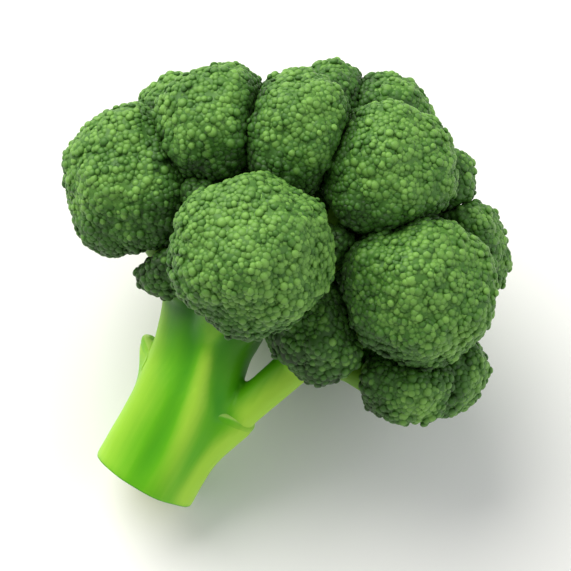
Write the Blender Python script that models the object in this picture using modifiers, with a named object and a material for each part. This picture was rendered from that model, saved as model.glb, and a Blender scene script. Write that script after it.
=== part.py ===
"""A freshly cut head of broccoli, lying on its side.

The head is drawn upright in its own growth frame: the stalk's cut face is at height 0, the stalk grows up
along +Z and the crown of florets sits on top. One empty then turns it over and lays it on the floor, where
it rests on the rim of the cut and on two florets at its back.

Every floret and every branch keeps to a cell of its own. A flat plane parts each pair of neighbours, and
each piece stops a little short of it, so the florets press against each other as they do on the plant and
never overlap.
"""

import math

import bmesh
import bpy
from mathutils import Matrix, Vector

MM = 0.001
HEAD_NAME = "broccoli_head"

# half of the space between two pieces that touch
GAP = 0.16 * MM

# stalk: height above the cut, radius there, and how far its centre has bent aside
STALK_RINGS = (
    (0.0, 17.7, 0.0),
    (6.0, 17.1, 0.0),
    (15.0, 17.0, 0.1),
    (24.0, 17.3, 0.0),
    (25.5, 17.4, -0.1),
    (33.0, 17.9, -0.7),
    (40.0, 18.6, -1.8),
    (46.0, 19.6, -3.2),
)
STALK_SIDES = 30
# rounds off the stalk's top: slopes of its last two rings
STALK_DOME_SLOPES = (math.radians(30), math.radians(60))
RIBS = 5
RIB_HEIGHT = 0.7 * MM
RIB_TURN = math.radians(20)

# the place in the top of the stalk where the branches part, and the same on the limb at the right
CROWN_FORK = Vector((-4.0, 0.0, 46.0)) * MM
CROWN_FORK_RADIUS = 15.0 * MM
LIMB_FORK = Vector((25.0, -7.0, 62.0)) * MM
LIMB_FORK_RADIUS = 6.5 * MM

# right limb: it leaves the stalk above the right leaf stub
LIMB_FOOT = Vector((13.4, -4.0, 29.0)) * MM
LIMB_RADIUS = 6.2 * MM
LIMB_SWELL = ((0.0, 0.84), (0.2, 0.98), (0.5, 1.0), (0.85, 1.04), (1.0, 1.1))
LIMB_SIDES = 16
# its last ring: how far into the fork, and how much thinner, as shares
LIMB_TIP_REACH = 0.6
LIMB_TIP_RADIUS = 0.7
# the flat and the ledge that the stalk keeps for it
STALK_FLAT = 11.6 * MM
STALK_LEDGE = 25.0

# florets: name, azimuth in degrees, height, reach from the stalk's line, radius, dome height for its width
FLORETS = (
    ("front", -96, 89.5, 48.5, 28.0, 1.0, "crown"),
    ("left", 189, 84.0, 46.5, 27.0, 1.12, "crown"),
    ("lower_left", 206, 71.0, 30.5, 14.0, 1.0, "crown"),
    ("middle_left", 213, 95.0, 31.0, 17.0, 1.0, "crown"),
    ("upper_left", 204, 114.0, 37.0, 23.0, 1.0, "crown"),
    ("outer_left", 165, 105.3, 46.6, 19.0, 1.0, "crown"),
    ("upper_middle", 236, 123.0, 21.0, 23.0, 1.05, "crown"),
    ("top_left", 140, 134.0, 9.0, 17.0, 1.0, "crown"),
    ("top_right", 39, 136.3, 14.1, 20.0, 1.0, "crown"),
    ("upper_right", -38, 126.5, 23.5, 26.0, 1.0, "crown"),
    ("right_shoulder", -4, 126.3, 31.3, 20.0, 1.0, "crown"),
    ("middle_right", -42, 104.0, 26.0, 15.0, 1.0, "crown"),
    ("right", -25, 101.0, 49.5, 28.2, 1.0, "limb"),
    ("outer_right", -4, 112.8, 48.3, 22.4, 1.0, "limb"),
    ("lower_right", -14, 75.5, 56.5, 17.2, 1.15, "limb"),
    ("outer_lower_right", -3, 80.0, 66.0, 16.0, 1.0, "limb"),
    ("under_right", -37, 75.0, 32.0, 17.0, 0.9, "limb"),
    ("rear_right", 18, 93.0, 51.0, 22.0, 1.0, "limb"),
    ("back_right", 50, 84.0, 49.0, 26.5, 1.0, "crown"),
    ("back", 107, 83.0, 48.0, 28.0, 1.0, "crown"),
    ("back_left", 151, 83.0, 46.0, 23.5, 1.0, "crown"),
    ("upper_back_right", 44, 114.0, 36.0, 23.0, 1.0, "crown"),
    ("upper_back", 98, 115.0, 31.0, 24.0, 1.0, "crown"),
    ("under_back", 77, 67.0, 37.0, 16.0, 0.9, "crown"),
)
FLORET_DETAIL = 3
# a floret is a core with small domes all over it, all as shares of its radius
CORE = 0.80
DOME_COUNT = 16
DOME_RADIUS = 0.40
DOME_REACH = 0.57
# how far below its middle a floret opens from its branch
UNDERSIDE = 0.60
# how far florets keep from the stalk's line
STALK_CLEARANCE = 22.0 * MM

BRANCH_SIDES = 10
BRANCH_RINGS = 4
BRANCH_FOOT = 5.4 * MM
BRANCH_NECK = 4.6 * MM
# radius of the branch where it spreads under its floret, as a share of the floret's radius
BRANCH_SPREAD = 0.52

# leaf stubs, where leaf stalks were cut off: side, first and last height, half width, flare and thickness
LEAF_STUBS = {
    "leaf_stub_right": (-18, 16.0, 34.0, 30, 4.6, 2.6),
    "leaf_stub_left": (155, 26.5, 40.0, 16, 2.0, 2.4),
}
# shape of a stub: narrower at its foot, its top edge and its flare fall off to both sides
STUB_FOOT_WIDTH = 0.55
STUB_WIDEST = 0.65
STUB_TOP_FALL = 0.22
STUB_FLARE_FALL = 0.25
STUB_CLEARANCE = 0.1 * MM
STUB_COLUMNS = 9
STUB_ROWS = 6

# how the head lies: turned about its own stalk, tipped over, then turned on the floor
SPIN = 15.274
STALK_RISE = 32.738
YAW = -35.21

# sRGB colours
BUD_GREEN = (84, 128, 57)
STALK_GREEN = (142, 200, 56)
STUB_GREEN = (118, 186, 42)


def clear_scene():
    for thing in list(bpy.data.objects):
        bpy.data.objects.remove(thing, do_unlink=True)


def linear(srgb):
    """An sRGB colour of 0 to 255 as the linear RGBA that a shader takes."""
    channels = [value / 255 for value in srgb]
    return [c / 12.92 if c <= 0.04045 else ((c + 0.055) / 1.055) ** 2.4 for c in channels] + [1.0]


def make_material(name, srgb, roughness):
    material = bpy.data.materials.new(name)
    material.use_nodes = True
    shader = material.node_tree.nodes["Principled BSDF"]
    shader.inputs["Base Color"].default_value = linear(srgb)
    shader.inputs["Roughness"].default_value = roughness
    shader.inputs["Metallic"].default_value = 0.0
    material.diffuse_color = linear(srgb)
    return material


def add_object(name, bm, material, collection, root):
    """The finished mesh as a named object, shaded smooth and hung from the root."""
    mesh = bpy.data.meshes.new(name)
    bm.to_mesh(mesh)
    bm.free()
    mesh.materials.append(material)
    mesh.shade_smooth()
    mesh.set_sharp_from_angle(angle=math.radians(50))
    thing = bpy.data.objects.new(name, mesh)
    collection.objects.link(thing)
    thing.parent = root
    return thing


# cells: a plane is a unit normal and an offset, and a piece stays where normal . point <= offset


def held_inside(start, point, planes):
    """The point, drawn back towards start until it is behind every plane."""
    reach = 1.0
    step = point - start
    for normal, offset in planes:
        outward = normal.dot(step)
        if outward > 1e-7:
            reach = min(reach, max(0.0, (offset - normal.dot(start)) / outward))
    return start + step * reach


def nearest_on_segment(point, segment):
    start, end = segment
    along = end - start
    share = (point - start).dot(along) / along.length_squared
    return start + along * min(1.0, max(0.0, share))


def nearest_pair(first, second):
    """The nearest points of two segments, by walking from one to the other until they settle."""
    on_first = (first[0] + first[1]) / 2
    for _ in range(60):
        on_second = nearest_on_segment(on_first, second)
        on_first = nearest_on_segment(on_second, first)
    return on_first, on_second


def plane_towards(start, end, distance):
    """The plane facing from start to end, at a distance from start, less the gap."""
    normal = (end - start).normalized()
    return normal, normal.dot(start) + distance - GAP


# the florets and their branches as plain facts, before any mesh


class Floret:
    def __init__(self, name, azimuth, height, reach, radius, dome, fork):
        angle = math.radians(azimuth)
        self.name = name
        self.centre = Vector((reach * math.cos(angle), reach * math.sin(angle), height)) * MM
        self.radius = radius * MM
        self.dome = dome
        self.fork = fork
        self.fork_point = CROWN_FORK if fork == "crown" else LIMB_FORK
        self.fork_radius = CROWN_FORK_RADIUS if fork == "crown" else LIMB_FORK_RADIUS
        self.axis = (self.centre - self.fork_point).normalized()
        self.underside = self.centre - self.axis * UNDERSIDE * self.radius
        self.branch = (
            self.fork_point + self.axis * (self.fork_radius + GAP),
            self.underside - self.axis * GAP,
        )


def floret_planes(floret, florets, limb):
    """The cell of one floret: its neighbours, the other branches and its own underside."""
    planes = [(-floret.axis, -floret.axis.dot(floret.underside) - GAP)]
    for other in florets:
        if other is floret:
            continue
        apart = (other.centre - floret.centre).length
        share = (apart**2 + floret.radius**2 - other.radius**2) / (2 * apart)
        planes.append(plane_towards(floret.centre, other.centre, share))
        near = nearest_on_segment(floret.centre, other.branch)
        planes.append(plane_towards(floret.centre, near, (near - floret.centre).length - BRANCH_FOOT))
    near = nearest_on_segment(floret.centre, limb)
    planes.append(plane_towards(floret.centre, near, (near - floret.centre).length - LIMB_RADIUS))
    near = nearest_on_segment(floret.centre, (Vector((0, 0, 0)), CROWN_FORK))
    planes.append(plane_towards(floret.centre, near, (near - floret.centre).length - STALK_CLEARANCE))
    return planes


def branch_planes(floret, florets, limb):
    """The cell of one branch: the other branches, the other florets and the limb."""
    planes = []
    for other in florets:
        if other is floret:
            continue
        mine, its = nearest_pair(floret.branch, other.branch)
        planes.append(plane_towards(mine, its, (its - mine).length / 2))
        near = nearest_on_segment(other.centre, floret.branch)
        planes.append(plane_towards(near, other.centre, BRANCH_FOOT))
    if floret.fork == "crown":
        mine, its = nearest_pair(floret.branch, limb)
        planes.append(plane_towards(mine, its, (its - mine).length / 2))
    return planes


def across(axis):
    """Two unit vectors square to an axis and to each other."""
    side = axis.cross(Vector((0, 0, 1)))
    if side.length < 1e-6:
        side = Vector((1, 0, 0))
    side.normalize()
    return side, axis.cross(side).normalized()


def ring_around(centre, axis, radius, sides, planes):
    first, second = across(axis)
    points = []
    for step in range(sides):
        angle = 2 * math.pi * step / sides
        outward = first * math.cos(angle) + second * math.sin(angle)
        points.append(held_inside(centre, centre + outward * radius, planes))
    return points


def loft(rings):
    """A closed skin through rings of equally many points, capped flat at both ends."""
    bm = bmesh.new()
    rows = [[bm.verts.new(point) for point in ring] for ring in rings]
    sides = len(rows[0])
    for lower, upper in zip(rows, rows[1:]):
        for step in range(sides):
            after = (step + 1) % sides
            bm.faces.new((lower[step], lower[after], upper[after], upper[step]))
    bm.faces.new(list(reversed(rows[0])))
    bm.faces.new(rows[-1])
    bmesh.ops.triangulate(bm, faces=bm.faces)
    bmesh.ops.recalc_face_normals(bm, faces=bm.faces)
    return bm


# sub-parts


def dome_directions():
    """Directions spread evenly over a ball, in the order of a sunflower's seeds."""
    golden = math.pi * (3 - math.sqrt(5))
    for step in range(DOME_COUNT):
        height = 1 - 2 * (step + 0.5) / DOME_COUNT
        across_axis = math.sqrt(1 - height * height)
        angle = golden * step
        yield Vector((across_axis * math.cos(angle), across_axis * math.sin(angle), height))


def clump_reach(direction, domes):
    """How far the clump of domes reaches in one direction, as a share of its radius."""
    reach = CORE
    for dome in domes:
        along = direction.dot(dome) * DOME_REACH
        inside = DOME_RADIUS**2 - (DOME_REACH**2 - along**2)
        if inside > 0:
            reach = max(reach, along + math.sqrt(inside))
    return reach


def build_floret(floret, florets, limb, material, collection, root):
    planes = floret_planes(floret, florets, limb)
    domes = list(dome_directions())
    stand = floret.axis.to_track_quat("Z", "Y").to_matrix()
    bm = bmesh.new()
    bmesh.ops.create_icosphere(bm, subdivisions=FLORET_DETAIL, radius=1.0)
    for vert in bm.verts:
        direction = vert.co.normalized()
        shape = direction * clump_reach(direction, domes) * floret.radius
        shape.z *= floret.dome
        vert.co = held_inside(floret.centre, floret.centre + stand @ shape, planes)
    return add_object("floret_" + floret.name, bm, material, collection, root)


def build_branch(floret, florets, limb, material, collection, root):
    """A branch: thick at its foot, slimmer at its neck, spreading under its floret."""
    planes = branch_planes(floret, florets, limb)
    start, end = floret.branch
    spread = BRANCH_SPREAD * floret.radius
    rings = []
    for step in range(BRANCH_RINGS):
        share = step / (BRANCH_RINGS - 1)
        foot = BRANCH_FOOT + (BRANCH_NECK - BRANCH_FOOT) * share
        radius = foot + max(0.0, spread - foot) * share**3
        rings.append(ring_around(start.lerp(end, share), floret.axis, radius, BRANCH_SIDES, planes))
    return add_object("branch_" + floret.name, loft(rings), material, collection, root)


def stalk_radius(angle, radius):
    return radius * MM + RIB_HEIGHT * math.cos(RIBS * angle + RIB_TURN)


def stalk_at(height):
    """Radius and sideways bend of the stalk at a height in millimetres, straight between its rings."""
    for low, high in zip(STALK_RINGS, STALK_RINGS[1:]):
        if height <= high[0]:
            share = (height - low[0]) / (high[0] - low[0])
            return low[1] + (high[1] - low[1]) * share, low[2] + (high[2] - low[2]) * share
    return STALK_RINGS[-1][1], STALK_RINGS[-1][2]


def stalk_point(angle, height, outward=0.0):
    """A point on the stalk's ribbed side, or a little outside it. Height and outward are in millimetres."""
    radius, bend = stalk_at(height)
    reach = stalk_radius(angle, radius) + outward * MM
    return Vector((bend * MM + reach * math.cos(angle), reach * math.sin(angle), height * MM))


def build_stalk(florets, material, collection, root):
    """The stalk, flattened above the right leaf stub where the limb leans on it, and domed at its fork."""
    planes = []
    for floret in florets:
        if floret.fork == "crown":
            planes.append((floret.axis, floret.axis.dot(CROWN_FORK) + CROWN_FORK_RADIUS - GAP))
    beside_limb = [(Vector((1, 0, 0)), STALK_FLAT - GAP)]
    rings = []
    for height, _, bend in STALK_RINGS:
        centre = Vector((bend * MM, 0, height * MM))
        held = planes + (beside_limb if height > STALK_LEDGE else [])
        ring = []
        for step in range(STALK_SIDES):
            angle = 2 * math.pi * step / STALK_SIDES
            ring.append(held_inside(centre, stalk_point(angle, height), held))
        rings.append(ring)
    top_radius = STALK_RINGS[-1][1] * MM
    for slope in STALK_DOME_SLOPES:
        flat = math.cos(slope)
        ring = []
        for step in range(STALK_SIDES):
            angle = 2 * math.pi * step / STALK_SIDES
            outward = Vector((math.cos(angle) * flat, math.sin(angle) * flat, math.sin(slope)))
            ring.append(held_inside(CROWN_FORK, CROWN_FORK + outward * top_radius, planes + beside_limb))
        rings.append(ring)
    return add_object("stalk", loft(rings), material, collection, root)


def build_limb(florets, material, collection, root):
    """The limb at the right: an oval foot against the stalk, then a round stem up to its own fork."""
    planes = [(Vector((-1, 0, 0)), -STALK_FLAT - GAP)]
    for floret in florets:
        if floret.fork == "limb":
            planes.append((floret.axis, floret.axis.dot(LIMB_FORK) + LIMB_FORK_RADIUS - GAP))
        else:
            mine, its = nearest_pair((LIMB_FOOT, LIMB_FORK), floret.branch)
            planes.append(plane_towards(mine, its, (its - mine).length / 2))
    axis = (LIMB_FORK - LIMB_FOOT).normalized()
    rings = []
    for share, swell in LIMB_SWELL:
        centre = LIMB_FOOT.lerp(LIMB_FORK, share)
        rings.append(ring_around(centre, axis, LIMB_RADIUS * swell, LIMB_SIDES, planes))
    tip = LIMB_FORK + axis * LIMB_FORK_RADIUS * LIMB_TIP_REACH
    rings.append(ring_around(tip, axis, LIMB_RADIUS * LIMB_TIP_RADIUS, LIMB_SIDES, planes))
    return add_object("branch_right_limb", loft(rings), material, collection, root)


def build_leaf_stub(name, material, collection, root):
    """What is left of a leaf stalk: a curved flap that hugs the stalk and flares towards its cut end."""
    azimuth, low, high, half_width, flare, thickness = LEAF_STUBS[name]
    bm = bmesh.new()
    bmesh.ops.create_grid(bm, x_segments=STUB_COLUMNS, y_segments=STUB_ROWS, size=1.0)
    for vert in bm.verts:
        side, rise = vert.co.x, (vert.co.y + 1) / 2
        bulge = math.sin(math.pi * (1 - STUB_WIDEST * (1 - rise)))
        width = half_width * (STUB_FOOT_WIDTH + (1 - STUB_FOOT_WIDTH) * bulge)
        crown = (high - low) * rise * (1 - STUB_TOP_FALL * side * side)
        outward = (2 * GAP + STUB_CLEARANCE) / MM + flare * rise**2 * (1 - STUB_FLARE_FALL * side * side)
        vert.co = stalk_point(math.radians(azimuth + width * side), low + crown, outward)
    stub = add_object(name, bm, material, collection, root)
    skin = stub.modifiers.new("thickness", "SOLIDIFY")
    skin.thickness = thickness * MM
    skin.offset = 1.0
    return stub


def lay_down(root):
    """Tips the head over, then sets it on the floor with its middle over the origin."""
    tip = Matrix.Rotation(-math.radians(90 - STALK_RISE), 4, "X")
    turn = Matrix.Rotation(math.radians(YAW), 4, "Z")
    spin = Matrix.Rotation(math.radians(SPIN), 4, "Z")
    root.matrix_world = turn @ tip @ spin
    bpy.context.view_layer.update()
    graph = bpy.context.evaluated_depsgraph_get()
    points = []
    for child in root.children:
        solid = child.evaluated_get(graph)
        points += [solid.matrix_world @ vert.co for vert in solid.data.vertices]
    low = Vector(min(point[axis] for point in points) for axis in range(3))
    high = Vector(max(point[axis] for point in points) for axis in range(3))
    middle = (low + high) / 2
    root.location = -Vector((middle.x, middle.y, low.z))


def main():
    clear_scene()
    collection = bpy.data.collections.new(HEAD_NAME)
    bpy.context.scene.collection.children.link(collection)
    root = bpy.data.objects.new(HEAD_NAME, None)
    collection.objects.link(root)

    buds = make_material("flower_buds", BUD_GREEN, 0.75)
    skin = make_material("stalk_skin", STALK_GREEN, 0.4)
    cut_leaf = make_material("cut_leaf_stalk", STUB_GREEN, 0.45)

    florets = [Floret(*facts) for facts in FLORETS]
    limb = (LIMB_FOOT, LIMB_FORK)
    build_stalk(florets, skin, collection, root)
    build_limb(florets, skin, collection, root)
    for name in LEAF_STUBS:
        build_leaf_stub(name, cut_leaf, collection, root)
    for floret in florets:
        build_branch(floret, florets, limb, skin, collection, root)
        build_floret(floret, florets, limb, buds, collection, root)
    lay_down(root)


main()
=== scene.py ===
# A fresh head of broccoli lying on a pale table: thousands of flower buds on each floret,
# over a smooth ribbed stalk that divides into branches and twigs.
import math

import bpy
import numpy as np
from mathutils import Matrix, Vector
from mathutils.bvhtree import BVHTree
from mathutils.kdtree import KDTree


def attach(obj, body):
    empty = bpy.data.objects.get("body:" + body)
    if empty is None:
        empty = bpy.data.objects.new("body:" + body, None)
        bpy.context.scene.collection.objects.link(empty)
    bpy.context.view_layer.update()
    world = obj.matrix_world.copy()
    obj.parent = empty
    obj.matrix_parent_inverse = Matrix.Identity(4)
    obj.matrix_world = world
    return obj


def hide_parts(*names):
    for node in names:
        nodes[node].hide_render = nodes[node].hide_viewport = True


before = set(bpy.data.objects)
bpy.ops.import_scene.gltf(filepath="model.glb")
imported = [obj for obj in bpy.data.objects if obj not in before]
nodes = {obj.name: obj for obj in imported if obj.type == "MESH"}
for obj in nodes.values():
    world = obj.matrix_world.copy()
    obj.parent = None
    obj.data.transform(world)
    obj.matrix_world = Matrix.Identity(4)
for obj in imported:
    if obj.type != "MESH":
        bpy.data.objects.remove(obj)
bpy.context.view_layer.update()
mm = 0.001
hairGap = 0.02  # millimetres, too thin to see: keeps a ray off its own surface and buds off the floor
random = np.random.default_rng(11)
print("frame loaded:", len(nodes), "solids")


def hexColour(text):
    # sRGB hex to the linear colour that a shader takes
    values = [int(text[i:i + 2], 16) / 255 for i in (1, 3, 5)]
    return [v / 12.92 if v <= 0.04045 else ((v + 0.055) / 1.055) ** 2.4 for v in values] + [1.0]


def addNode(tree, kind, inputs=None, stops=(), **settings):
    # one node with its settings; an input given a socket is linked to it; stops fill a colour ramp
    node = tree.nodes.new(kind)
    for name, value in settings.items():
        setattr(node, name, value)
    for name, value in (inputs or {}).items():
        if isinstance(value, bpy.types.NodeSocket):
            tree.links.new(value, node.inputs[name])
        else:
            node.inputs[name].default_value = value
    if stops:
        elements = node.color_ramp.elements
        for index in (0, -1):
            elements[index].position = stops[index][0]
            elements[index].color = hexColour(stops[index][1])
        for position, colour in stops[1:-1]:
            elements.new(position).color = hexColour(colour)
    return node


def newMaterial(name, surface):
    # a material whose constants are set on the shader's own sockets
    material = bpy.data.materials.new(name)
    material.use_nodes = True
    shader = material.node_tree.nodes["Principled BSDF"]
    for socket, value in surface.items():
        shader.inputs[socket].default_value = value
    return material, material.node_tree, shader


def meshObject(name, points, triangles, attributes, material):
    # triangles from arrays, smooth, with one float attribute per point for each name given
    mesh = bpy.data.meshes.new(name)
    mesh.vertices.add(len(points))
    mesh.vertices.foreach_set("co", np.asarray(points, np.float32).ravel())
    mesh.loops.add(len(triangles) * 3)
    mesh.loops.foreach_set("vertex_index", np.asarray(triangles, np.int32).ravel())
    mesh.polygons.add(len(triangles))
    mesh.polygons.foreach_set("loop_start", np.arange(0, len(triangles) * 3, 3, dtype=np.int32))
    for attribute, values in attributes.items():
        layer = mesh.attributes.new(attribute, "FLOAT", "POINT")
        layer.data.foreach_set("value", np.asarray(values, np.float32))
    mesh.update(calc_edges=True)
    mesh.shade_smooth()
    mesh.materials.append(material)
    thing = bpy.data.objects.new(name, mesh)
    bpy.context.scene.collection.objects.link(thing)
    return thing


def evaluatedArrays(thing):
    # points and triangles of an object with its modifiers done
    graph = bpy.context.evaluated_depsgraph_get()
    mesh = thing.evaluated_get(graph).to_mesh()
    mesh.calc_loop_triangles()
    points = np.empty(len(mesh.vertices) * 3)
    mesh.vertices.foreach_get("co", points)
    triangles = np.empty(len(mesh.loop_triangles) * 3, np.int32)
    mesh.loop_triangles.foreach_get("vertices", triangles)
    return points.reshape(-1, 3), triangles.reshape(-1, 3)


def pointNormals(points, triangles):
    corners = points[triangles]
    faceNormals = np.cross(corners[:, 1] - corners[:, 0], corners[:, 2] - corners[:, 0])
    normals = np.zeros_like(points)
    for corner in range(3):
        np.add.at(normals, triangles[:, corner], faceNormals)
    return normals / np.maximum(np.linalg.norm(normals, axis=1, keepdims=True), 1e-12)


# the way the head lies, in degrees, and its growth frame: cut face at height 0, stalk along +Z
headPose = {"spin": 15.274, "stalkRise": 32.738, "turn": -35.21}


def growthToWorld():
    turn = Matrix.Rotation(math.radians(headPose["turn"]), 4, "Z")
    tip = Matrix.Rotation(-math.radians(90 - headPose["stalkRise"]), 4, "X")
    spin = Matrix.Rotation(math.radians(headPose["spin"]), 4, "Z")
    rotation = turn @ tip @ spin
    axis = rotation @ Vector((0, 0, 1))
    # the cut's rim: the stalk's points within a tenth of a millimetre of its end
    stalkPoints = [v.co.copy() for v in nodes["stalk"].data.vertices]
    lowest = min(axis.dot(p) for p in stalkPoints)
    rim = {tuple(round(x, 6) for x in p) for p in stalkPoints if axis.dot(p) < lowest + 0.1 * mm}
    middle = sum((Vector(p) for p in rim), Vector()) / len(rim)
    return Matrix.Translation(middle) @ rotation


toWorld = growthToWorld()
toGrowth = toWorld.inverted()


def transformed(points, matrix):
    m = np.array(matrix)
    return points @ m[:3, :3].T + m[:3, 3]


# camera: looks down on the head, long lens; its aim is measured from the middle of the cut
cameraView = {"elevation": 63.3, "distance": 0.8, "lens": 157.5, "aim": (0.0456, 0.0491, 0.0422)}


def addCamera():
    rise = math.radians(cameraView["elevation"])
    aim = toWorld.translation + Vector(cameraView["aim"])
    data = bpy.data.cameras.new("camera")
    data.lens = cameraView["lens"]
    camera = bpy.data.objects.new("camera", data)
    bpy.context.scene.collection.objects.link(camera)
    camera.location = aim + Vector((0, -math.cos(rise), math.sin(rise))) * cameraView["distance"]
    camera.rotation_euler = (math.pi / 2 - rise, 0, 0)
    bpy.context.scene.camera = camera


addCamera()
bpy.context.scene.view_settings.view_transform = "Standard"  # shows each material's hex colours as they are

# light: a broad key high up behind the head and a little to the left, a weak fill from the right, a pale room
lights = {
    "key": {"place": (-0.48, 0.62, 1.0), "size": 1.3, "watts": 20.5, "colour": "#fffdf6"},
    "fill": {"place": (0.95, -0.25, 0.75), "size": 1.1, "watts": 4.0, "colour": "#f6f9ff"},
}
room = {"colour": "#ffffff", "strength": 0.47, "lampAim": (0, 0, 0.05),
        "floor": "#f4f4f2", "floorRoughness": 0.9, "floorSize": 8}


def addLights():
    for name, light in lights.items():
        data = bpy.data.lights.new(name, "AREA")
        data.shape = "DISK"
        data.size = light["size"]
        data.energy = light["watts"]
        data.color = hexColour(light["colour"])[:3]
        lamp = bpy.data.objects.new(name, data)
        bpy.context.scene.collection.objects.link(lamp)
        lamp.location = light["place"]
        lamp.rotation_euler = (Vector(room["lampAim"]) - lamp.location).to_track_quat("-Z", "Y").to_euler()
    world = bpy.data.worlds.new("room")
    world.use_nodes = True
    background = world.node_tree.nodes["Background"]
    background.inputs["Color"].default_value = hexColour(room["colour"])
    background.inputs["Strength"].default_value = room["strength"]
    bpy.context.scene.world = world


def addFloor():
    # table top: smooth laminate with no gloss
    surface = {"Base Color": hexColour(room["floor"]), "Roughness": room["floorRoughness"]}
    material = newMaterial("matt white laminate", surface)[0]
    bpy.ops.mesh.primitive_plane_add(size=room["floorSize"])
    floor = bpy.context.object
    floor.name = "floor"
    floor.data.materials.append(material)


addLights()
addFloor()
print("camera, lights and table set")

# flower bud skin: a living leaf-like surface under a thin wax bloom, so it is soft and matt and greyer at a
# grazing angle;
# it is painted dark where buds meet (painted shade) and pale at each tip, partly the bud's own paler tip and
# partly a painted highlight
budSkin = {
    "greens": ((0.22, "#152f07"), (0.58, "#3a6a1d"), (0.96, "#74a446")),  # between buds, body, tip
    "flesh": "#6f9f42",  # of the floret, where no bud covers it
    "lift": 0.04, "tipShare": 0.28, "toneShare": 0.62, "patchShare": 0.4,  # what picks a bud's green
    "patchSize": 14 * mm, "grainSize": 0.5 * mm, "grainHeight": 0.15 * mm, "grainStrength": 0.25,
    "surface": {"Roughness": 0.5, "IOR": 1.4, "Sheen Weight": 0.05, "Sheen Roughness": 0.45,
                "Sheen Tint": hexColour("#c9dcb8")},
}


def makeBudMaterial():
    look = budSkin
    material, tree, shader = newMaterial("waxy broccoli bud skin", look["surface"])
    place = addNode(tree, "ShaderNodeTexCoord").outputs["Object"]
    tip, tone, flesh = (addNode(tree, "ShaderNodeAttribute", attribute_name=name).outputs["Fac"]
                        for name in ("tip", "tone", "flesh"))
    patches = addNode(tree, "ShaderNodeTexNoise",
                      {"Vector": place, "Scale": 1 / look["patchSize"], "Detail": 2}).outputs["Fac"]
    # height on the bud (painted shade at its foot, a painted highlight at its tip), the bud's own tone with
    # the floret's painted shade in it, and broad patches together pick the green
    shade = look["lift"]
    for source, share in ((tip, "tipShare"), (tone, "toneShare"), (patches, "patchShare")):
        shade = addNode(tree, "ShaderNodeMath", {0: source, 1: look[share], 2: shade},
                        operation="MULTIPLY_ADD").outputs[0]
    greens = addNode(tree, "ShaderNodeValToRGB", {"Fac": shade}, look["greens"]).outputs["Color"]
    colour = addNode(tree, "ShaderNodeMix", {0: flesh, 6: greens, 7: hexColour(look["flesh"])},
                     data_type="RGBA")
    grain = addNode(tree, "ShaderNodeTexNoise",
                    {"Vector": place, "Scale": 1 / look["grainSize"], "Detail": 3}).outputs["Fac"]
    bump = addNode(tree, "ShaderNodeBump",
                   {"Height": grain, "Strength": look["grainStrength"], "Distance": look["grainHeight"]})
    tree.links.new(colour.outputs[2], shader.inputs["Base Color"])
    tree.links.new(bump.outputs["Normal"], shader.inputs["Normal"])
    return material


# stalk skin: a moist, slightly see-through rind over white pith, with fine fibres along its length;
# a painted highlight makes it pale along its ribs and painted shade makes it strong green down in its grooves
stalkSkin = {
    "greens": ((0.15, "#3c9c08"), (0.55, "#64b60c"), (1.0, "#a9da3e")),  # groove, side, rib
    # painted shade: the dark green the skin takes close under the buds
    "shaded": "#185c06",  # on young branches, close under the buds
    # the cut, from the rind inwards: green, then pale pith with a greener ring of fibres in it
    "cutFace": ((0.0, "#3c9c08"), (0.16, "#64b60c"), (0.30, "#dfe9b4"), (0.48, "#9cc25a"), (0.66, "#dfe9b4")),
    "cutDepth": 5.2 * mm,
    "streakWidth": 2.2 * mm, "streakStretch": 0.07, "streakShare": 0.16,
    "streakHeight": 0.25 * mm, "streakStrength": 0.3,
    "surface": {"Roughness": 0.45, "IOR": 1.34, "Subsurface Weight": 0.18,
                "Subsurface Radius": (0.6, 1.0, 0.25), "Subsurface Scale": 2.5 * mm},
}


def makeStalkMaterial():
    look = stalkSkin
    material, tree, shader = newMaterial("moist broccoli stalk rind", look["surface"])
    rib, near, cut, depth = (addNode(tree, "ShaderNodeAttribute", attribute_name=name).outputs["Fac"]
                             for name in ("rib", "near", "cut", "depth"))
    grow = addNode(tree, "ShaderNodeAttribute", attribute_name="grow").outputs["Vector"]
    fibres = addNode(tree, "ShaderNodeMapping", {"Vector": grow, "Scale": (1, 1, look["streakStretch"])})
    noise = addNode(tree, "ShaderNodeTexNoise",
                    {"Vector": fibres.outputs[0], "Scale": 1 / look["streakWidth"], "Detail": 3})
    streaks = noise.outputs["Fac"]
    # the rib paint and the fibres pick the green: painted highlight along ribs, painted shade in grooves
    streaked = addNode(tree, "ShaderNodeMath", {0: streaks, 1: look["streakShare"], 2: rib},
                       operation="MULTIPLY_ADD").outputs[0]
    greens = addNode(tree, "ShaderNodeValToRGB", {"Fac": streaked}, look["greens"]).outputs["Color"]
    # painted shade: dark green close under the florets
    shaded = addNode(tree, "ShaderNodeMix", {0: near, 6: greens, 7: hexColour(look["shaded"])},
                     data_type="RGBA")
    pith = addNode(tree, "ShaderNodeValToRGB", {"Fac": depth}, look["cutFace"]).outputs["Color"]
    colour = addNode(tree, "ShaderNodeMix", {0: cut, 6: shaded.outputs[2], 7: pith}, data_type="RGBA")
    bump = addNode(tree, "ShaderNodeBump",
                   {"Height": streaks, "Strength": look["streakStrength"], "Distance": look["streakHeight"]})
    tree.links.new(colour.outputs[2], shader.inputs["Base Color"])
    tree.links.new(bump.outputs["Normal"], shader.inputs["Normal"])
    return material


budMaterial = makeBudMaterial()
stalkMaterial = makeStalkMaterial()
print("materials made")

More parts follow.
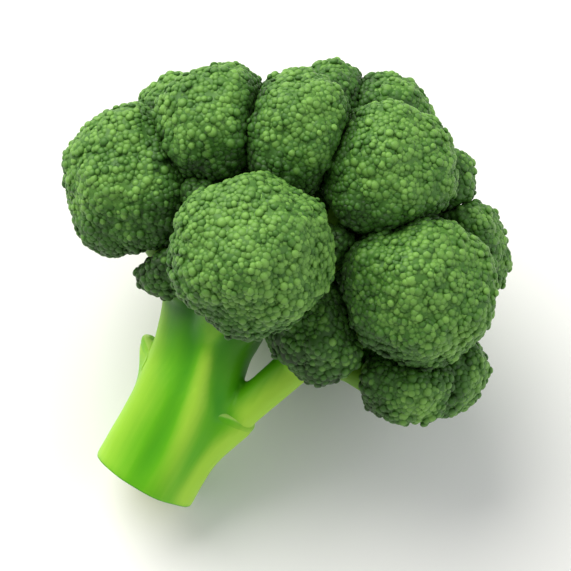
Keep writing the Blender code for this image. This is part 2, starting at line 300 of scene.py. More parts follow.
# florets: the solid's surface, rounded and swollen into clumps and smaller tufts, then covered with buds
floretLook = {
    "weld": 0.01 * mm, "soften": 0.5, "rounding": 2,  # how the solid's mesh becomes smooth
    "spacing": 1.35 * mm, "density": 14e6, "openUnder": 0.87, "hiddenGap": 1.0 * mm,  # where buds grow
    "budFit": 0.80, "budHeight": 0.74, "stand": 0.15 * mm, "sizeSpread": 0.13, "heightSpread": 0.2 * mm,
    "tilt": 0.2,
    "inflate": 1.9 * mm, "sink": 0.25 * mm, "clump": 7.0 * mm, "clumpHeight": 1.1 * mm,
    "tuft": 3.8 * mm, "tuftHeight": 0.95 * mm, "flank": 0.75, "roundness": 1.5, "seedShare": 1.15,
    "leastSeeds": 8,
    "neighbourReach": 5 * mm, "creaseGap": 7 * mm, "creaseSteepness": 2, "creaseSwell": 0.2,
}
# how light each bud is, and the painted shade taken off it between clumps and tufts, in creases against other
# florets, towards the branch and on inner florets; the flesh under the buds has its own shares
floretTone = {
    "bud": 0.64, "spread": 0.14, "clump": 0.12, "tuft": 0.15, "crease": 0.7, "low": 0.66, "inner": 0.3,
    "flesh": 0.5, "fleshTip": 0.25, "fleshCrease": 0.6, "fleshLow": 0.5, "bareEdge": 0.04, "bareCrease": 0.9,
    "darkGap": 9 * mm, "lowFrom": -0.15, "lowOver": 0.9,
}
# young florets that sit deep between the big ones, darkened with painted shade
innerFlorets = ("under_right", "middle_right", "middle_left", "lower_left")
# a few fill out more than the rest, into the gap beside them
extraSwell = {"under_right": 1.8 * mm, "lower_left": 1.4 * mm, "lower_right": 1.0 * mm, "left": 0.5 * mm}
# one bud, as high as it is wide: sides, degrees from the tip and turn of each ring; how low its foot is
budForm = {"rings": ((6, 34, 0.0), (9, 68, 0.4), (9, 106, 0.75)), "foot": -0.75}


def makeScatterGroup():
    group = bpy.data.node_groups.new("scatter", "GeometryNodeTree")
    group.interface.new_socket("Geometry", in_out="INPUT", socket_type="NodeSocketGeometry")
    group.interface.new_socket("Geometry", in_out="OUTPUT", socket_type="NodeSocketGeometry")
    surface = addNode(group, "NodeGroupInput").outputs[0]
    spread = addNode(group, "GeometryNodeDistributePointsOnFaces",
                     {"Mesh": surface, "Distance Min": floretLook["spacing"],
                      "Density Max": floretLook["density"]},
                     distribute_method="POISSON", name="spread")
    stored = addNode(group, "GeometryNodeStoreNamedAttribute",
                     {"Geometry": spread.outputs["Points"], "Name": "outward",
                      "Value": spread.outputs["Normal"]},
                     data_type="FLOAT_VECTOR", domain="POINT")
    points = addNode(group, "GeometryNodePointsToVertices", {"Points": stored.outputs[0]})
    addNode(group, "NodeGroupOutput", {0: points.outputs[0]})
    return group


def roundedSurface(node):
    # the solid's own mesh, welded, softened and smoothed by subdivision
    surface = bpy.data.objects.new("surface", node.data.copy())
    bpy.context.scene.collection.objects.link(surface)
    weld = surface.modifiers.new("weld", "WELD")
    weld.merge_threshold = floretLook["weld"]
    soften = surface.modifiers.new("soften", "SMOOTH")
    soften.factor = floretLook["soften"]
    smooth = surface.modifiers.new("round", "SUBSURF")
    smooth.levels = smooth.render_levels = floretLook["rounding"]
    return surface


def budTemplate():
    # one bud: a closed ovoid, finer towards its tip; heights say how far up each point is
    points, heights, rings = [(0, 0, 1.0)], [1.0], []
    for count, polar, turn in budForm["rings"]:
        ring = []
        for step in range(count):
            angle = 2 * math.pi * (step + turn) / count
            across = math.sin(math.radians(polar))
            ring.append(len(points))
            points.append((across * math.cos(angle), across * math.sin(angle), math.cos(math.radians(polar))))
            heights.append(max(0.0, math.cos(math.radians(polar))))
        rings.append(ring)
    points.append((0, 0, budForm["foot"]))
    heights.append(0.0)
    first, last = rings[0], rings[-1]
    triangles = [(0, first[i], first[(i + 1) % len(first)]) for i in range(len(first))]
    for upper, lower in zip(rings, rings[1:]):
        triangles += stitched(upper, lower, points)
    triangles += [(last[i], len(points) - 1, last[(i + 1) % len(last)]) for i in range(len(last))]
    return np.array(points, float), np.array(triangles), np.array(heights)


def stitched(upper, lower, points):
    # triangles between two rings of different counts, walking round both by angle
    def angleOf(index):
        return math.atan2(points[index][1], points[index][0]) % (2 * math.pi)

    def angleAt(ring, step):
        return angleOf(ring[step % len(ring)]) + 2 * math.pi * (step // len(ring))

    upper, lower = sorted(upper, key=angleOf), sorted(lower, key=angleOf)
    triangles, i, j = [], 0, 0
    while i < len(upper) or j < len(lower):
        upNext = angleAt(upper, i + 1) if i < len(upper) else math.inf
        lowNext = angleAt(lower, j + 1) if j < len(lower) else math.inf
        a, b = upper[i % len(upper)], lower[j % len(lower)]
        if upNext < lowNext:
            i += 1
            triangles.append((a, b, upper[i % len(upper)]))
        else:
            j += 1
            triangles.append((a, b, lower[j % len(lower)]))
    return triangles


def frameAround(normals, lean):
    # three axes for each bud, its own turned and leant a little
    outward = normals + lean
    outward /= np.linalg.norm(outward, axis=1, keepdims=True)
    upright = np.abs(outward[:, 2:3]) > 0.9  # too close to Z to take Z for the cross product
    side = np.cross(outward, np.where(upright, [[1.0, 0, 0]], [[0, 0, 1.0]]))
    side /= np.linalg.norm(side, axis=1, keepdims=True)
    angle = random.uniform(0, 2 * math.pi, (len(outward), 1))
    other = np.cross(outward, side)
    first = side * np.cos(angle) + other * np.sin(angle)
    return first, np.cross(outward, first), outward


def pointTree(points):
    tree = KDTree(len(points))
    for index, point in enumerate(points):
        tree.insert(point, index)
    tree.balance()
    return tree


def clumpDepth(points, seeds, width):
    # 0 in the middle of a clump of buds, 1 on the line between two clumps
    tree = pointTree(seeds)
    depth = []
    for point in points:
        near, far = [found[2] for found in tree.find_n(point, 2)]
        depth.append(1 - min(1.0, (far - near) / (floretLook["flank"] * width)))
    return np.array(depth)


def neighbourGap(points, count=5):
    # mean distance to the nearest few buds, without the bud itself
    tree = pointTree(points)
    return np.array([np.mean([found[2] for found in tree.find_n(p, count + 1)[1:]]) for p in points])


budShape, budTriangles, budHeights = budTemplate()
scatterGroup = makeScatterGroup()


def gatherSurfaces():
    surfaces = {}
    for name in sorted(nodes):
        if name.startswith("floret_"):
            surface = roundedSurface(nodes[name])
            points, triangles = evaluatedArrays(surface)
            surfaces[name] = {"object": surface, "points": points, "triangles": triangles,
                              "tree": BVHTree.FromPolygons(points.tolist(), triangles.tolist())}
    return surfaces


def scatterBuds(surface, seed):
    modifier = surface.modifiers.new("scatter", "NODES")
    modifier.node_group = scatterGroup
    scatterGroup.nodes["spread"].inputs["Seed"].default_value = seed
    bpy.context.view_layer.update()
    graph = bpy.context.evaluated_depsgraph_get()
    mesh = surface.evaluated_get(graph).data
    points = np.empty(len(mesh.vertices) * 3)
    mesh.vertices.foreach_get("co", points)
    outward = np.empty(len(mesh.vertices) * 3)
    mesh.attributes["outward"].data.foreach_get("vector", outward)
    return points.reshape(-1, 3), outward.reshape(-1, 3)


def roomOutside(points, normals, others):
    # how far another floret is along the way out of each spot
    rooms = []
    for point, normal in zip(points, normals):
        way = Vector(normal)
        start = Vector(point) + way * hairGap * mm
        room = floretLook["creaseGap"]
        for tree in others:
            hit = tree.ray_cast(start, way, room)
            if hit[0] is not None:
                room = hit[3]
        rooms.append(room)
    return np.array(rooms)


def creaseOf(points, others):
    # 1 where another floret touches, 0 from a few millimetres on: how much painted shade darkens the buds in
    # between
    reach = floretTone["darkGap"]
    gaps = [min([reach] + [tree.find_nearest(point, reach)[3] or reach for tree in others])
            for point in points.tolist()]
    return 1 - np.array(gaps) / reach


def swellOf(short, depths, room):
    # how far the surface stands out of the solid: most in the middle of a clump, little beside a neighbour
    look = floretLook
    swell = look["inflate"]
    for depth, height in zip(depths, (look["clumpHeight"], look["tuftHeight"])):
        swell = swell - height * depth**look["roundness"]
    swell = swell + extraSwell.get(short, 0.0)
    return swell * np.clip(room / look["creaseGap"] * look["creaseSteepness"], look["creaseSwell"], 1)


def facingOf(points, middle, under):
    # from 1 on the branch's side of a floret to -1 on its crown
    away = points - middle
    return away / np.linalg.norm(away, axis=1, keepdims=True) @ under


def lowShare(facing):
    # how much painted shade a spot gets for facing its branch: none towards the crown, most towards the
    # branch
    return np.clip((facing - floretTone["lowFrom"]) / floretTone["lowOver"], 0, 1)


def growBuds(points, normals, gaps, swell):
    # the bud's shape once for each place: as wide as its neighbours leave room for, turned its own way
    look = floretLook
    size = gaps * look["budFit"] * (1 + random.normal(0, look["sizeSpread"], len(points)))
    axes = frameAround(normals, random.normal(0, look["tilt"], (len(points), 3)))
    stand = look["stand"] + random.normal(0, look["heightSpread"], len(points))
    centres = points + normals * (stand + swell - size * look["budHeight"])[:, None]
    shape = budShape * [1, 1, look["budHeight"]]
    grown = sum(shape[None, :, i:i + 1] * axis[:, None] for i, axis in enumerate(axes))
    return centres[:, None] + size[:, None, None] * grown


def buildFloret(name, surfaces, branchEnd, seed):
    look, tone = floretLook, floretTone
    short = name[len("floret_"):]
    inner = tone["inner"] if short in innerFlorets else 0.0
    flesh, fleshTriangles = surfaces[name]["points"], surfaces[name]["triangles"]
    points, normals = scatterBuds(surfaces[name]["object"], seed)
    low, high = flesh.min(0) - look["neighbourReach"], flesh.max(0) + look["neighbourReach"]
    others = [s["tree"] for other, s in surfaces.items() if other != name
              and (s["points"].min(0) < high).all() and (s["points"].max(0) > low).all()]
    middle = flesh.mean(0)
    under = np.array(branchEnd) - middle
    under /= np.linalg.norm(under)
    facing = facingOf(points, middle, under)
    room = roomOutside(points, normals, others)
    keep = (facing < look["openUnder"]) & (room > look["hiddenGap"])
    gaps = neighbourGap(points)
    shuffled = points[random.permutation(len(points))]
    seeds, depths = {}, []
    for kind in ("clump", "tuft"):
        count = int(len(points) * (look["seedShare"] * look["spacing"] / look[kind])**2)
        seeds[kind] = shuffled[:max(look["leastSeeds"], count)]
        depths.append(clumpDepth(points, seeds[kind], look[kind])[keep])
    points, normals, gaps, room, facing = [a[keep] for a in (points, normals, gaps, room, facing)]
    buds = growBuds(points, normals, gaps, swellOf(short, depths, room))
    count = len(points)
    budFaces = budTriangles[None] + (np.arange(count) * len(budShape))[:, None, None]
    tips = np.tile(budHeights, count)
    # the bud's own random tone, less painted shade between clumps and tufts, in creases, towards the branch
    # and on inner florets
    budTone = (random.normal(tone["bud"] - inner, tone["spread"], count)
               - tone["clump"] * depths[0]**2 - tone["tuft"] * depths[1]
               - tone["crease"] * creaseOf(points, others) - tone["low"] * lowShare(facing))
    # the floret's flesh under the buds: the same surface, sunk so that mostly the buds show
    fleshNormals = pointNormals(flesh, fleshTriangles)
    fleshDepths = [clumpDepth(flesh, seeds[kind], look[kind]) for kind in seeds]
    fleshSwell = swellOf(short, fleshDepths, roomOutside(flesh, fleshNormals, others)) - look["sink"]
    fleshPoints = flesh + fleshNormals * fleshSwell[:, None]
    fleshFacing = facingOf(fleshPoints, middle, under)
    fleshCrease = creaseOf(flesh, others)
    # bare flesh shows on the open underside but less in creases; painted shade darkens the flesh in creases,
    # towards the branch and on inner florets
    bare = np.clip((fleshFacing - look["openUnder"] + tone["bareEdge"]) / (2 * tone["bareEdge"]), 0, 1)
    bare = bare * (1 - tone["bareCrease"] * fleshCrease)
    fleshTone = (tone["flesh"] - inner - tone["fleshCrease"] * fleshCrease
                 - tone["fleshLow"] * lowShare(fleshFacing))
    allPoints = np.concatenate([buds.reshape(-1, 3), fleshPoints])
    allPoints[:, 2] = np.maximum(allPoints[:, 2], hairGap * mm)
    allFaces = np.concatenate([budFaces.reshape(-1, 3), fleshTriangles + count * len(budShape)])
    tones = np.clip(np.concatenate([np.repeat(budTone, len(budShape)), fleshTone]), 0, 1)
    piece = meshObject("buds_" + short, allPoints, allFaces,
                       {"tip": np.concatenate([tips, np.full(len(flesh), tone["fleshTip"])]),
                        "flesh": np.concatenate([np.zeros(len(tips)), bare]), "tone": tones}, budMaterial)
    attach(piece, "root")
    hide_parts(name)
    return count, len(allFaces)


# stalk, in growth millimetres: its width and sideways bend at each height, and where it forks
stalkLook = {
    "rings": ((-4, 16.4, -0.3), (0, 17.4, -0.3), (6, 17.0, -0.3), (15, 16.8, -0.3), (25, 17.0, -0.4),
              (33, 16.9, -1.0), (38, 16.1, -1.9), (43, 15.5, -2.9), (51, 15.7, -4.8), (60, 17.6, -6.4),
              (66, 16.5, -6.8), (72, 11.5, -6.5), (78, 3.0, -6.0)),
    "ringStep": 1.5, "around": 96, "stubLead": 1.2, "stubShare": 0.9,  # it swells with each leaf stub
    "fork": (-4.0, 0.0, 46.0), "tubeSides": 16, "voxel": 1.0, "factor": 0.6, "smoothing": 9,
}
# the ribs and grooves that run up to the branches: (height, direction in degrees) along each, how far it
# stands out, its width in degrees and where it ends; as painted light, how pale its painted highlight is
# (below 0: dark, a painted shade), how wide the paint spreads and how much of it is left down at the foot
stalkRibs = {
    "left": {"line": ((-4, 204), (25, 213), (34, 208), (44, 195), (56, 183)),
             "stand": 1.7, "width": 20, "end": 80, "paint": 0.33, "spread": 30, "low": 1.00},
    "front": {"line": ((-4, 291), (12, 289), (31, 281), (47, 279), (56, 276)),
              "stand": 1.2, "width": 12, "end": 60, "paint": 0.55, "spread": 11, "low": 0.05},
    "limb": {"line": ((-4, 342), (14, 337), (30, 343), (60, 345)),
             "stand": 1.3, "width": 19, "end": 38, "paint": 0.95, "spread": 21, "low": 1.00},
    "left_groove": {"line": ((-4, 266), (27, 264), (37, 262), (56, 258)),
                    "stand": -0.7, "width": 8, "end": 76, "paint": -0.25, "spread": 10, "low": 0.50},
    "limb_groove": {"line": ((-4, 318), (16, 318), (24, 320), (31, 319), (41, 303), (52, 290)),
                    "stand": -0.9, "width": 10, "end": 66, "paint": -0.15, "spread": 11, "low": 0.40},
    "back_right": {"line": ((-4, 42), (30, 47), (60, 50)),
                   "stand": 1.2, "width": 16, "end": 70, "paint": 0.4, "spread": 18, "low": 0.6},
    "back": {"line": ((-4, 96), (30, 101), (60, 107)),
             "stand": 1.3, "width": 16, "end": 70, "paint": 0.4, "spread": 18, "low": 0.6},
    "back_left": {"line": ((-4, 158), (30, 154), (60, 151)),
                  "stand": 1.0, "width": 14, "end": 70, "paint": 0.4, "spread": 16, "low": 0.6},
}
# how ribs fade: over so many millimetres at their end and at the cut, and where the stalk gets thin
ribFades = {"end": 14, "foot": 16, "footShare": 0.4, "thin": 12, "paintFoot": 30}
# the limb: the first branch, which leaves the stalk's right side and carries six florets
limbLook = {
    "root": ((10.0, -2.5, 6), (10.8, -3, 18)), "foot": (13.4, -4.0, 29.0), "bow": (0.6, 0, 0),
    "fork": (25.0, -7.0, 62.0), "radius": (5.2, 6.3), "steps": 26,
    "florets": ("right", "outer_right", "lower_right", "outer_lower_right", "under_right", "rear_right"),
}
# low branches leave the stalk's side where its ribs end
lowFlorets = ("front", "left", "lower_left", "back_left", "back", "back_right", "under_back", "middle_right")
# the way of each kind of branch: from a base, so far out towards its floret and then shifted; how far
# before the floret it turns straight; (share of the way, radius) along it
branchLook = {
    "limb": {"base": limbLook["fork"], "way": ((0, (-2.5, 0.5, -8)), (0, (1.5, 0, 5))),
             "straight": 5, "lift": 1.5, "radii": ((0, 4.6), (1, 4.2)), "steps": 14},
    "low": {"base": (0, 0, 0), "way": ((7, (-2, 0, 30)), (8.5, (-5, 0, 52)), (11, (-6, 0, 68))),
            "straight": 7, "lift": 0, "radii": ((0, 4.0), (0.4, 6.2), (1, 5.4)), "steps": 26},
    "upper": {"base": stalkLook["fork"], "way": ((5, (0, 0, 0)), (5, (0, 0, 14))),
              "straight": 6, "lift": 0, "radii": ((0, 5.4), (1, 4.8)), "steps": 18},
}
branchPast = 2  # how far each branch runs on into its floret
# twigs: thin stems that fan out from a branch's end in two rings (spread, turn)
twigLook = {
    "around": 9, "rings": ((0.50, 0.0), (0.85, 0.5)), "radius": (1.9, 1.25), "reach": 0.86, "forward": 1.2,
    "clear": 1.5, "back": 5.0, "aside": 1.5, "bend": (0.225, 0.05), "steps": 9, "sides": 8,
}
# leaf stubs, in growth millimetres: what is left of each leaf's foot, a ledge that swells out of the stalk's
# skin up to its cut: direction and half width in degrees, heights where it starts and where it was cut, how
# far it stands out, how its cut line falls to both sides and how much of its top is rounded off
leafStubs = {
    "leaf_stub_right": {"direction": -8, "spread": 58, "foot": 9.0, "top": 36.0, "stand": 9.6, "round": 6.0,
                        "brow": 0.2},
    "leaf_stub_left": {"direction": 168, "spread": 36, "foot": 22.0, "top": 41.4, "stand": 9.4, "round": 5.0,
                       "brow": 0.35},
}
stubLook = {
    "steepness": 2.2, "lip": 0.35, "across": 33, "rows": 40, "overlap": 0.5, "inside": 3.5, "under": 0.01,
    "slant": 1.0, "voxel": 0.4, "factor": 0.6, "smoothing": 8,
    # the scar on its top: how level its skin lies, how far down it reaches and how pale it is
    "facing": 0.35, "facingGain": 2.5, "scarReach": 5, "scarFade": 2, "scarPaint": 0.3, "pith": 0.25,
    # a painted highlight: the stub's skin a little paler all over than the stalk's paint gives
    "paint": 0.1,
}


def ringAt(height, column):
    rings = np.array(stalkLook["rings"])
    return np.interp(height, rings[:, 0], rings[:, column])


def stalkMiddle(height):
    return ringAt(height, 2)


def turnedFrom(angle, direction):
    # how far an angle is from a direction, -180 to 180 degrees
    return (angle - direction + 180) % 360 - 180


def ribAway(rib, height, angle):
    line = np.array(rib["line"])
    return turnedFrom(angle, np.interp(height, line[:, 0], line[:, 1]))


def ribEnd(rib, height):
    return np.clip((rib["end"] - height) / ribFades["end"], 0, 1)


def stalkRadius(height, angle):
    # how far the stalk's skin is from its middle, ribs included
    fades = ribFades
    radius = ringAt(height, 1)
    for rib in stalkRibs.values():
        foot = np.clip(height / fades["foot"], 0, 1 - fades["footShare"])
        fade = ribEnd(rib, height) * foot + fades["footShare"] * (height < rib["end"])
        across = np.exp(-(ribAway(rib, height, angle) / rib["width"])**2)
        radius = radius + rib["stand"] * fade * np.clip(radius / fades["thin"], 0, 1) * across
    return radius


def ribPaint(places):
    # painted highlight and shade: 0 down in a groove, 1 along a rib, for places in growth millimetres
    height = places[:, 2]
    angle = np.degrees(np.arctan2(places[:, 1], places[:, 0] - stalkMiddle(height)))
    paint = np.full(len(places), stalkPaint["plain"])
    for rib in stalkRibs.values():
        foot = rib["low"] + (1 - rib["low"]) * np.clip(height / ribFades["paintFoot"], 0, 1)
        across = np.exp(-(ribAway(rib, height, angle) / rib["spread"])**2)
        paint += rib["paint"] * (ribEnd(rib, height) * foot) * across
    return paint


def leafSwell(stub, height, angle):
    # how far a leaf's foot swells out of the stalk, up to the ledge where the leaf was cut
    tall = stub["top"] - stub["foot"]
    share = (height - stub["foot"]) / tall
    away = turnedFrom(angle, stub["direction"]) / (stub["spread"] * (0.5 + 0.5 * np.clip(share, 0, 1)))
    away = np.clip(away, -1, 1)
    share = share + stub["round"] / tall * away**2
    past = np.clip((share - 1 + stub["brow"]) / stub["brow"], 0, 1)
    lip = stubLook["lip"] + (1 - stubLook["lip"]) * np.sqrt(1 - past**2)
    rise = np.clip(share, 0, 1)**stubLook["steepness"] * lip
    return stub["stand"] * rise * (share < 1) * (0.5 + 0.5 * np.cos(away * math.pi))


def closedLoft(rings):
    # rings of equal count, bottom to top, joined and closed with a point in the middle of each end
    rings = np.asarray(rings, float)
    rows, sides = rings.shape[:2]
    points = np.concatenate([rings.reshape(-1, 3), rings[0].mean(0)[None], rings[-1].mean(0)[None]])
    triangles = []
    for row in range(rows - 1):
        for step in range(sides):
            a, b = row * sides + step, row * sides + (step + 1) % sides
            triangles += [(a, b, b + sides), (a, b + sides, a + sides)]
    last = (rows - 1) * sides
    for step in range(sides):
        following = (step + 1) % sides
        triangles.append((rows * sides, following, step))
        triangles.append((rows * sides + 1, last + step, last + following))
    return points, np.array(triangles)


def stalkBody():
    look = stalkLook
    angles = np.arange(look["around"]) * 360 / look["around"]
    rings = []
    for height in np.arange(look["rings"][0][0], look["rings"][-1][0], look["ringStep"]):
        swell = sum(leafSwell(stub, height + look["stubLead"], angles) * look["stubShare"]
                    for stub in leafStubs.values())
        radius = stalkRadius(height, angles) + swell
        rings.append(np.stack([radius * np.cos(np.radians(angles)) + stalkMiddle(height),
                               radius * np.sin(np.radians(angles)), np.full(len(angles), height)], 1))
    return closedLoft(rings)


def bezier(points, count):
    # points along a Bezier curve of any degree
    points = np.array(points, float)
    curve = []
    for step in range(count):
        share = step / (count - 1)
        level = points
        while len(level) > 1:
            level = level[:-1] * (1 - share) + level[1:] * share
        curve.append(level[0])
    return np.array(curve)


def tube(path, radii, sides):
    # a closed tube of changing radius along a path
    tangents = np.gradient(path, axis=0)
    tangents /= np.linalg.norm(tangents, axis=1, keepdims=True)
    side = np.cross(tangents[0], [0.3, 0.9, 0.2])  # any way that no tube runs in
    angles = np.arange(sides)[:, None] * 2 * math.pi / sides
    rings = []
    for centre, tangent, radius in zip(path, tangents, radii):
        side = side - tangent * side.dot(tangent)
        side /= np.linalg.norm(side)
        rings.append(centre + radius * (side * np.cos(angles) + np.cross(tangent, side) * np.sin(angles)))
    return closedLoft(rings)


def branchEnds():
    # where each branch meets its floret, in growth millimetres
    ends = {}
    for name in nodes:
        if not name.startswith("floret_"):
            continue
        short = name[len("floret_"):]
        fork = np.array(limbLook["fork"] if short in limbLook["florets"] else stalkLook["fork"])
        points = np.array([toGrowth @ v.co for v in nodes["branch_" + short].data.vertices]) / mm
        middle = np.array([toGrowth @ v.co for v in nodes[name].data.vertices]).mean(0) / mm
        axis = (middle - fork) / np.linalg.norm(middle - fork)
        along = (points - fork) @ axis
        last = points[along > along.max() - 1.0]  # its last millimetre
        ends[short] = {"end": last.mean(0), "axis": axis, "middle": middle}
    return ends


def stalkTubes(ends, surfaces):
    # the stalk's body, its limb, and every branch with its twigs
    foot, fork = np.array(limbLook["foot"]), np.array(limbLook["fork"])
    steps, sides = limbLook["steps"], stalkLook["tubeSides"]
    path = bezier([*limbLook["root"], foot, (foot + fork) / 2 + limbLook["bow"], fork], steps)
    tubes = [stalkBody(), tube(path, np.linspace(*limbLook["radius"], steps), sides)]
    for short, end in ends.items():
        kind = "limb" if short in limbLook["florets"] else "low" if short in lowFlorets else "upper"
        look = branchLook[kind]
        azimuth = math.atan2(end["middle"][1], end["middle"][0])
        across = np.array([math.cos(azimuth), math.sin(azimuth), 0])
        way = [np.array(look["base"]) + across * out + shift for out, shift in look["way"]]
        way.append(end["end"] - end["axis"] * look["straight"] + [0, 0, look["lift"]])
        way.append(end["end"] + end["axis"] * branchPast)
        radii = np.interp(np.linspace(0, 1, look["steps"]), *zip(*look["radii"]))
        tubes.append(tube(bezier(way, look["steps"]), radii, sides))
        tubes += twigs(end, surfaces["floret_" + short]["tree"])
    return tubes


def twigs(end, floretTree):
    # each twig runs most of the way to the floret's surface
    look, made = twigLook, []
    first = np.cross(end["axis"], [0.0, 0.0, 1.0])
    first /= np.linalg.norm(first)
    second = np.cross(end["axis"], first)
    worldEnd = toWorld @ (Vector(end["end"]) * mm)
    for spread, shift in look["rings"]:
        for step in range(look["around"]):
            angle = 2 * math.pi * (step + shift) / look["around"]
            aside = first * math.cos(angle) + second * math.sin(angle)
            direction = aside * spread + end["axis"] * (look["forward"] - spread)
            direction /= np.linalg.norm(direction)
            worldWay = toWorld.to_3x3() @ Vector(direction)
            hit = floretTree.ray_cast(worldEnd + worldWay * look["clear"] * mm, worldWay)
            if hit[0] is None:
                continue
            reach = (hit[0] - worldEnd).length / mm * look["reach"]
            start = end["end"] - end["axis"] * look["back"] + aside * look["aside"]
            bend = end["end"] + (aside * look["bend"][0] + end["axis"] * look["bend"][1]) * reach
            path = bezier([start, bend, end["end"] + direction * reach], look["steps"])
            made.append(tube(path, np.linspace(*look["radius"], look["steps"]), look["sides"]))
    return made


def grownTogether(points, triangles, look):
    # rough shapes in millimetres made into one even, softened skin; its points are in metres
    rough = meshObject("rough", points * mm, triangles, {}, stalkMaterial)
    remesh = rough.modifiers.new("grow together", "REMESH")
    remesh.mode = "VOXEL"
    remesh.voxel_size = look["voxel"] * mm
    smooth = rough.modifiers.new("soften", "SMOOTH")
    smooth.factor = look["factor"]
    smooth.iterations = look["smoothing"]
    points, triangles = evaluatedArrays(rough)
    bpy.data.objects.remove(rough)
    return points, triangles


def joined(parts):
    # several (points, triangles) as one
    points, triangles, offset = [], [], 0
    for partPoints, partTriangles in parts:
        points.append(partPoints)
        triangles.append(partTriangles + offset)
        offset += len(partPoints)
    return np.concatenate(points), np.concatenate(triangles)


def smoothedBy(points, triangles, rounds):
    # each point drawn to the mean of its neighbours, several times over
    edges = np.concatenate([triangles[:, [0, 1]], triangles[:, [1, 2]], triangles[:, [2, 0]]])
    edges = np.concatenate([edges, edges[:, ::-1]])
    degree = np.bincount(edges[:, 0], minlength=len(points))[:, None]
    result = points.copy()
    for _ in range(rounds):
        total = np.zeros_like(result)
        for axis in range(points.shape[1]):
            total[:, axis] = np.bincount(edges[:, 0], result[edges[:, 1], axis], len(points))
        result = total / np.maximum(degree, 1)
    return result


def growthMesh(name, points, triangles, attributes):
    # a piece worked out in the growth frame, laid down; it keeps its growth places for the skin's streaks
    world = transformed(points, toWorld)
    world[:, 2] = np.maximum(world[:, 2], 0.0)
    piece = meshObject(name, world, triangles, attributes, stalkMaterial)
    layer = piece.data.attributes.new("grow", "FLOAT_VECTOR", "POINT")
    layer.data.foreach_set("vector", points.astype(np.float32).ravel())
    return piece


# painted light on the stalk, 0 for a groove to 1 for a rib: plain skin, the painted highlight on its bulges
# and painted shade in its hollows, where the trunk's painted ribs give way to the branches, the limb painted
# pale on its outer side and dark towards the trunk, and the painted shade close to the florets
stalkPaint = {
    "plain": 0.30, "branch": 0.45, "broadRounds": 120, "bulge": 3 * mm, "bulgeRange": (-0.4, 0.5),
    "trunkBulge": 0.4, "trunkTop": 66, "trunkFade": 12, "trunkHalf": 20,
    "limbWidth": 9, "limbEdge": 2, "limbFrom": 33, "limbFade": 4, "limbMiddle": 0.80, "limbSide": 0.095238,
    "limbOutward": (0.9, -0.1, -0.42), "cutRim": 0.5, "rimRounds": 3, "cutLevel": 0.05 * mm,
    "shadeReach": 26 * mm, "shade": 1.875, "ribShade": 0.92, "limbShade": 0.85, "mostShade": 0.7,
    "trunkShade": 0.25,
}


def floretNearness(points, surfaces):
    # 1 on a floret's surface, 0 beyond a few centimetres: how much painted shade the stalk and branches get
    # under the buds
    whole, triangles = joined([(s["points"], s["triangles"]) for s in surfaces.values()])
    tree = BVHTree.FromPolygons(whole.tolist(), triangles.tolist())
    reach = stalkPaint["shadeReach"]
    gaps = np.array([tree.find_nearest(point, reach)[3] or reach for point in points.tolist()])
    return 1 - gaps / reach


def paintStalk(points, triangles, surfaces):
    paint, places = stalkPaint, points / mm
    height = places[:, 2]
    fromMiddle = places[:, 0] - stalkMiddle(height)
    # painted highlight where the skin bulges out and painted shade where it hollows in
    bulge = points - smoothedBy(points, triangles, paint["broadRounds"])
    bulge = np.clip((bulge * pointNormals(points, triangles)).sum(1) / paint["bulge"], *paint["bulgeRange"])
    trunk = np.clip((paint["trunkTop"] - height) / paint["trunkFade"], 0, 1)
    trunk = trunk * (np.abs(fromMiddle) < paint["trunkHalf"])
    onBranch = paint["branch"] + bulge
    onTrunk = ribPaint(places) + paint["trunkBulge"] * bulge
    rib = onBranch + (onTrunk - onBranch) * trunk
    foot, fork = np.array(limbLook["foot"]), np.array(limbLook["fork"])
    share = np.clip((height - foot[2]) / (fork[2] - foot[2]), 0, 1)[:, None]
    fromLimb = places - foot - (fork - foot) * share
    limb = np.clip((paint["limbWidth"] - np.linalg.norm(fromLimb, axis=1)) / paint["limbEdge"], 0, 1)
    limb = limb * np.clip((height - paint["limbFrom"]) / paint["limbFade"], 0, 1)
    # on the limb: painted highlight on its outer side, painted shade on the side towards the trunk
    onLimb = paint["limbMiddle"] + paint["limbSide"] * fromLimb @ np.array(paint["limbOutward"])
    rib = np.clip(rib * (1 - limb) + onLimb * limb, 0, 1)
    rib = np.where(height <= 0, paint["cutRim"], rib)[:, None]
    rib = smoothedBy(rib, triangles, paint["rimRounds"])[:, 0]
    # painted shade close under the florets, weaker on the trunk's ribs and on the limb
    near = floretNearness(transformed(points, toWorld), surfaces) * paint["shade"]
    near = near * (1 - paint["ribShade"] * rib * trunk) * (1 - paint["limbShade"] * limb)
    near = np.clip(near, 0, paint["mostShade"] + paint["trunkShade"] * trunk)
    # the cut face, and how far in from the rind each point lies
    fromCutMiddle = places[:, 0] - stalkMiddle(0.0)
    rind = stalkRadius(0.0, np.degrees(np.arctan2(places[:, 1], fromCutMiddle)))
    depth = np.clip((rind - np.hypot(places[:, 1], fromCutMiddle)) * mm / stalkSkin["cutDepth"], 0, 1)
    return {"rib": rib, "cut": points[:, 2] < paint["cutLevel"], "depth": depth, "near": near}


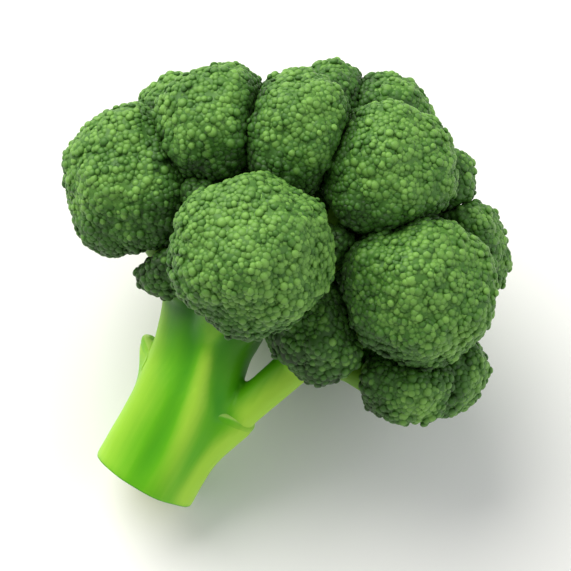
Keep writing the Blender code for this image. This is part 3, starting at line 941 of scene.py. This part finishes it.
def buildStalk(ends, surfaces):
    points, triangles = grownTogether(*joined(stalkTubes(ends, surfaces)), stalkLook)
    print("stalk grown together:", len(triangles), "triangles")
    points[:, 2] = np.maximum(points[:, 2], 0)  # the knife's cut: all below it is pressed into its plane
    paint = paintStalk(points, triangles, surfaces)
    stalk = growthMesh("stalk_and_branches", points, triangles, paint)
    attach(stalk, "root")
    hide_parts("stalk", *[n for n in nodes if n.startswith("branch_")])


def buildLeafStub(name):
    look, stub = stubLook, leafStubs[name]
    across = np.linspace(-1, 1, look["across"])
    rings = []
    for share in np.linspace(0, 1, look["rows"]):
        direction = stub["direction"] + across * stub["spread"] * (0.5 + 0.5 * share)
        height = stub["foot"] + (stub["top"] - stub["foot"]) * share
        level = height - stub["round"] * across**2
        skin = stalkRadius(level, direction)
        out = skin - look["overlap"] + leafSwell(stub, level - look["under"], direction)
        radius = np.concatenate([out, (skin - look["inside"])[::-1]])
        way = np.radians(np.concatenate([direction, direction[::-1]]))
        rings.append(np.stack([radius * np.cos(way) + stalkMiddle(height), radius * np.sin(way),
                               np.concatenate([level, level[::-1] - look["slant"] * share])], 1))
    points, triangles = grownTogether(*closedLoft(rings), look)
    places = points / mm
    facing = np.clip((pointNormals(points, triangles)[:, 2] - look["facing"]) * look["facingGain"], 0, 1)
    scar = facing * np.clip((places[:, 2] - stub["top"] + look["scarReach"]) / look["scarFade"], 0, 1)
    # the stalk's painted highlight and shade, a painted highlight over the whole stub, and the pale scar of
    # the cut
    rib = np.clip(ribPaint(places) + look["paint"] + look["scarPaint"] * scar, 0, 1)
    piece = growthMesh(name + "_rind", points, triangles,
                       {"rib": rib, "cut": scar * look["pith"], "depth": np.ones(len(points)),
                        "near": np.zeros(len(points))})
    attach(piece, "root")
    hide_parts(name)


surfaces = gatherSurfaces()
ends = branchEnds()
print("floret surfaces rounded:", len(surfaces))
buildStalk(ends, surfaces)
for name in leafStubs:
    buildLeafStub(name)
print("leaf stubs:", len(leafStubs))
totalBuds = totalFaces = 0
for index, name in enumerate(sorted(surfaces)):
    end = toWorld @ (Vector(ends[name[len("floret_"):]]["end"]) * mm)
    buds, faces = buildFloret(name, surfaces, end, index)
    totalBuds += buds
    totalFaces += faces
for surface in surfaces.values():
    bpy.data.objects.remove(surface["object"])
print("buds:", totalBuds, "triangles:", totalFaces)
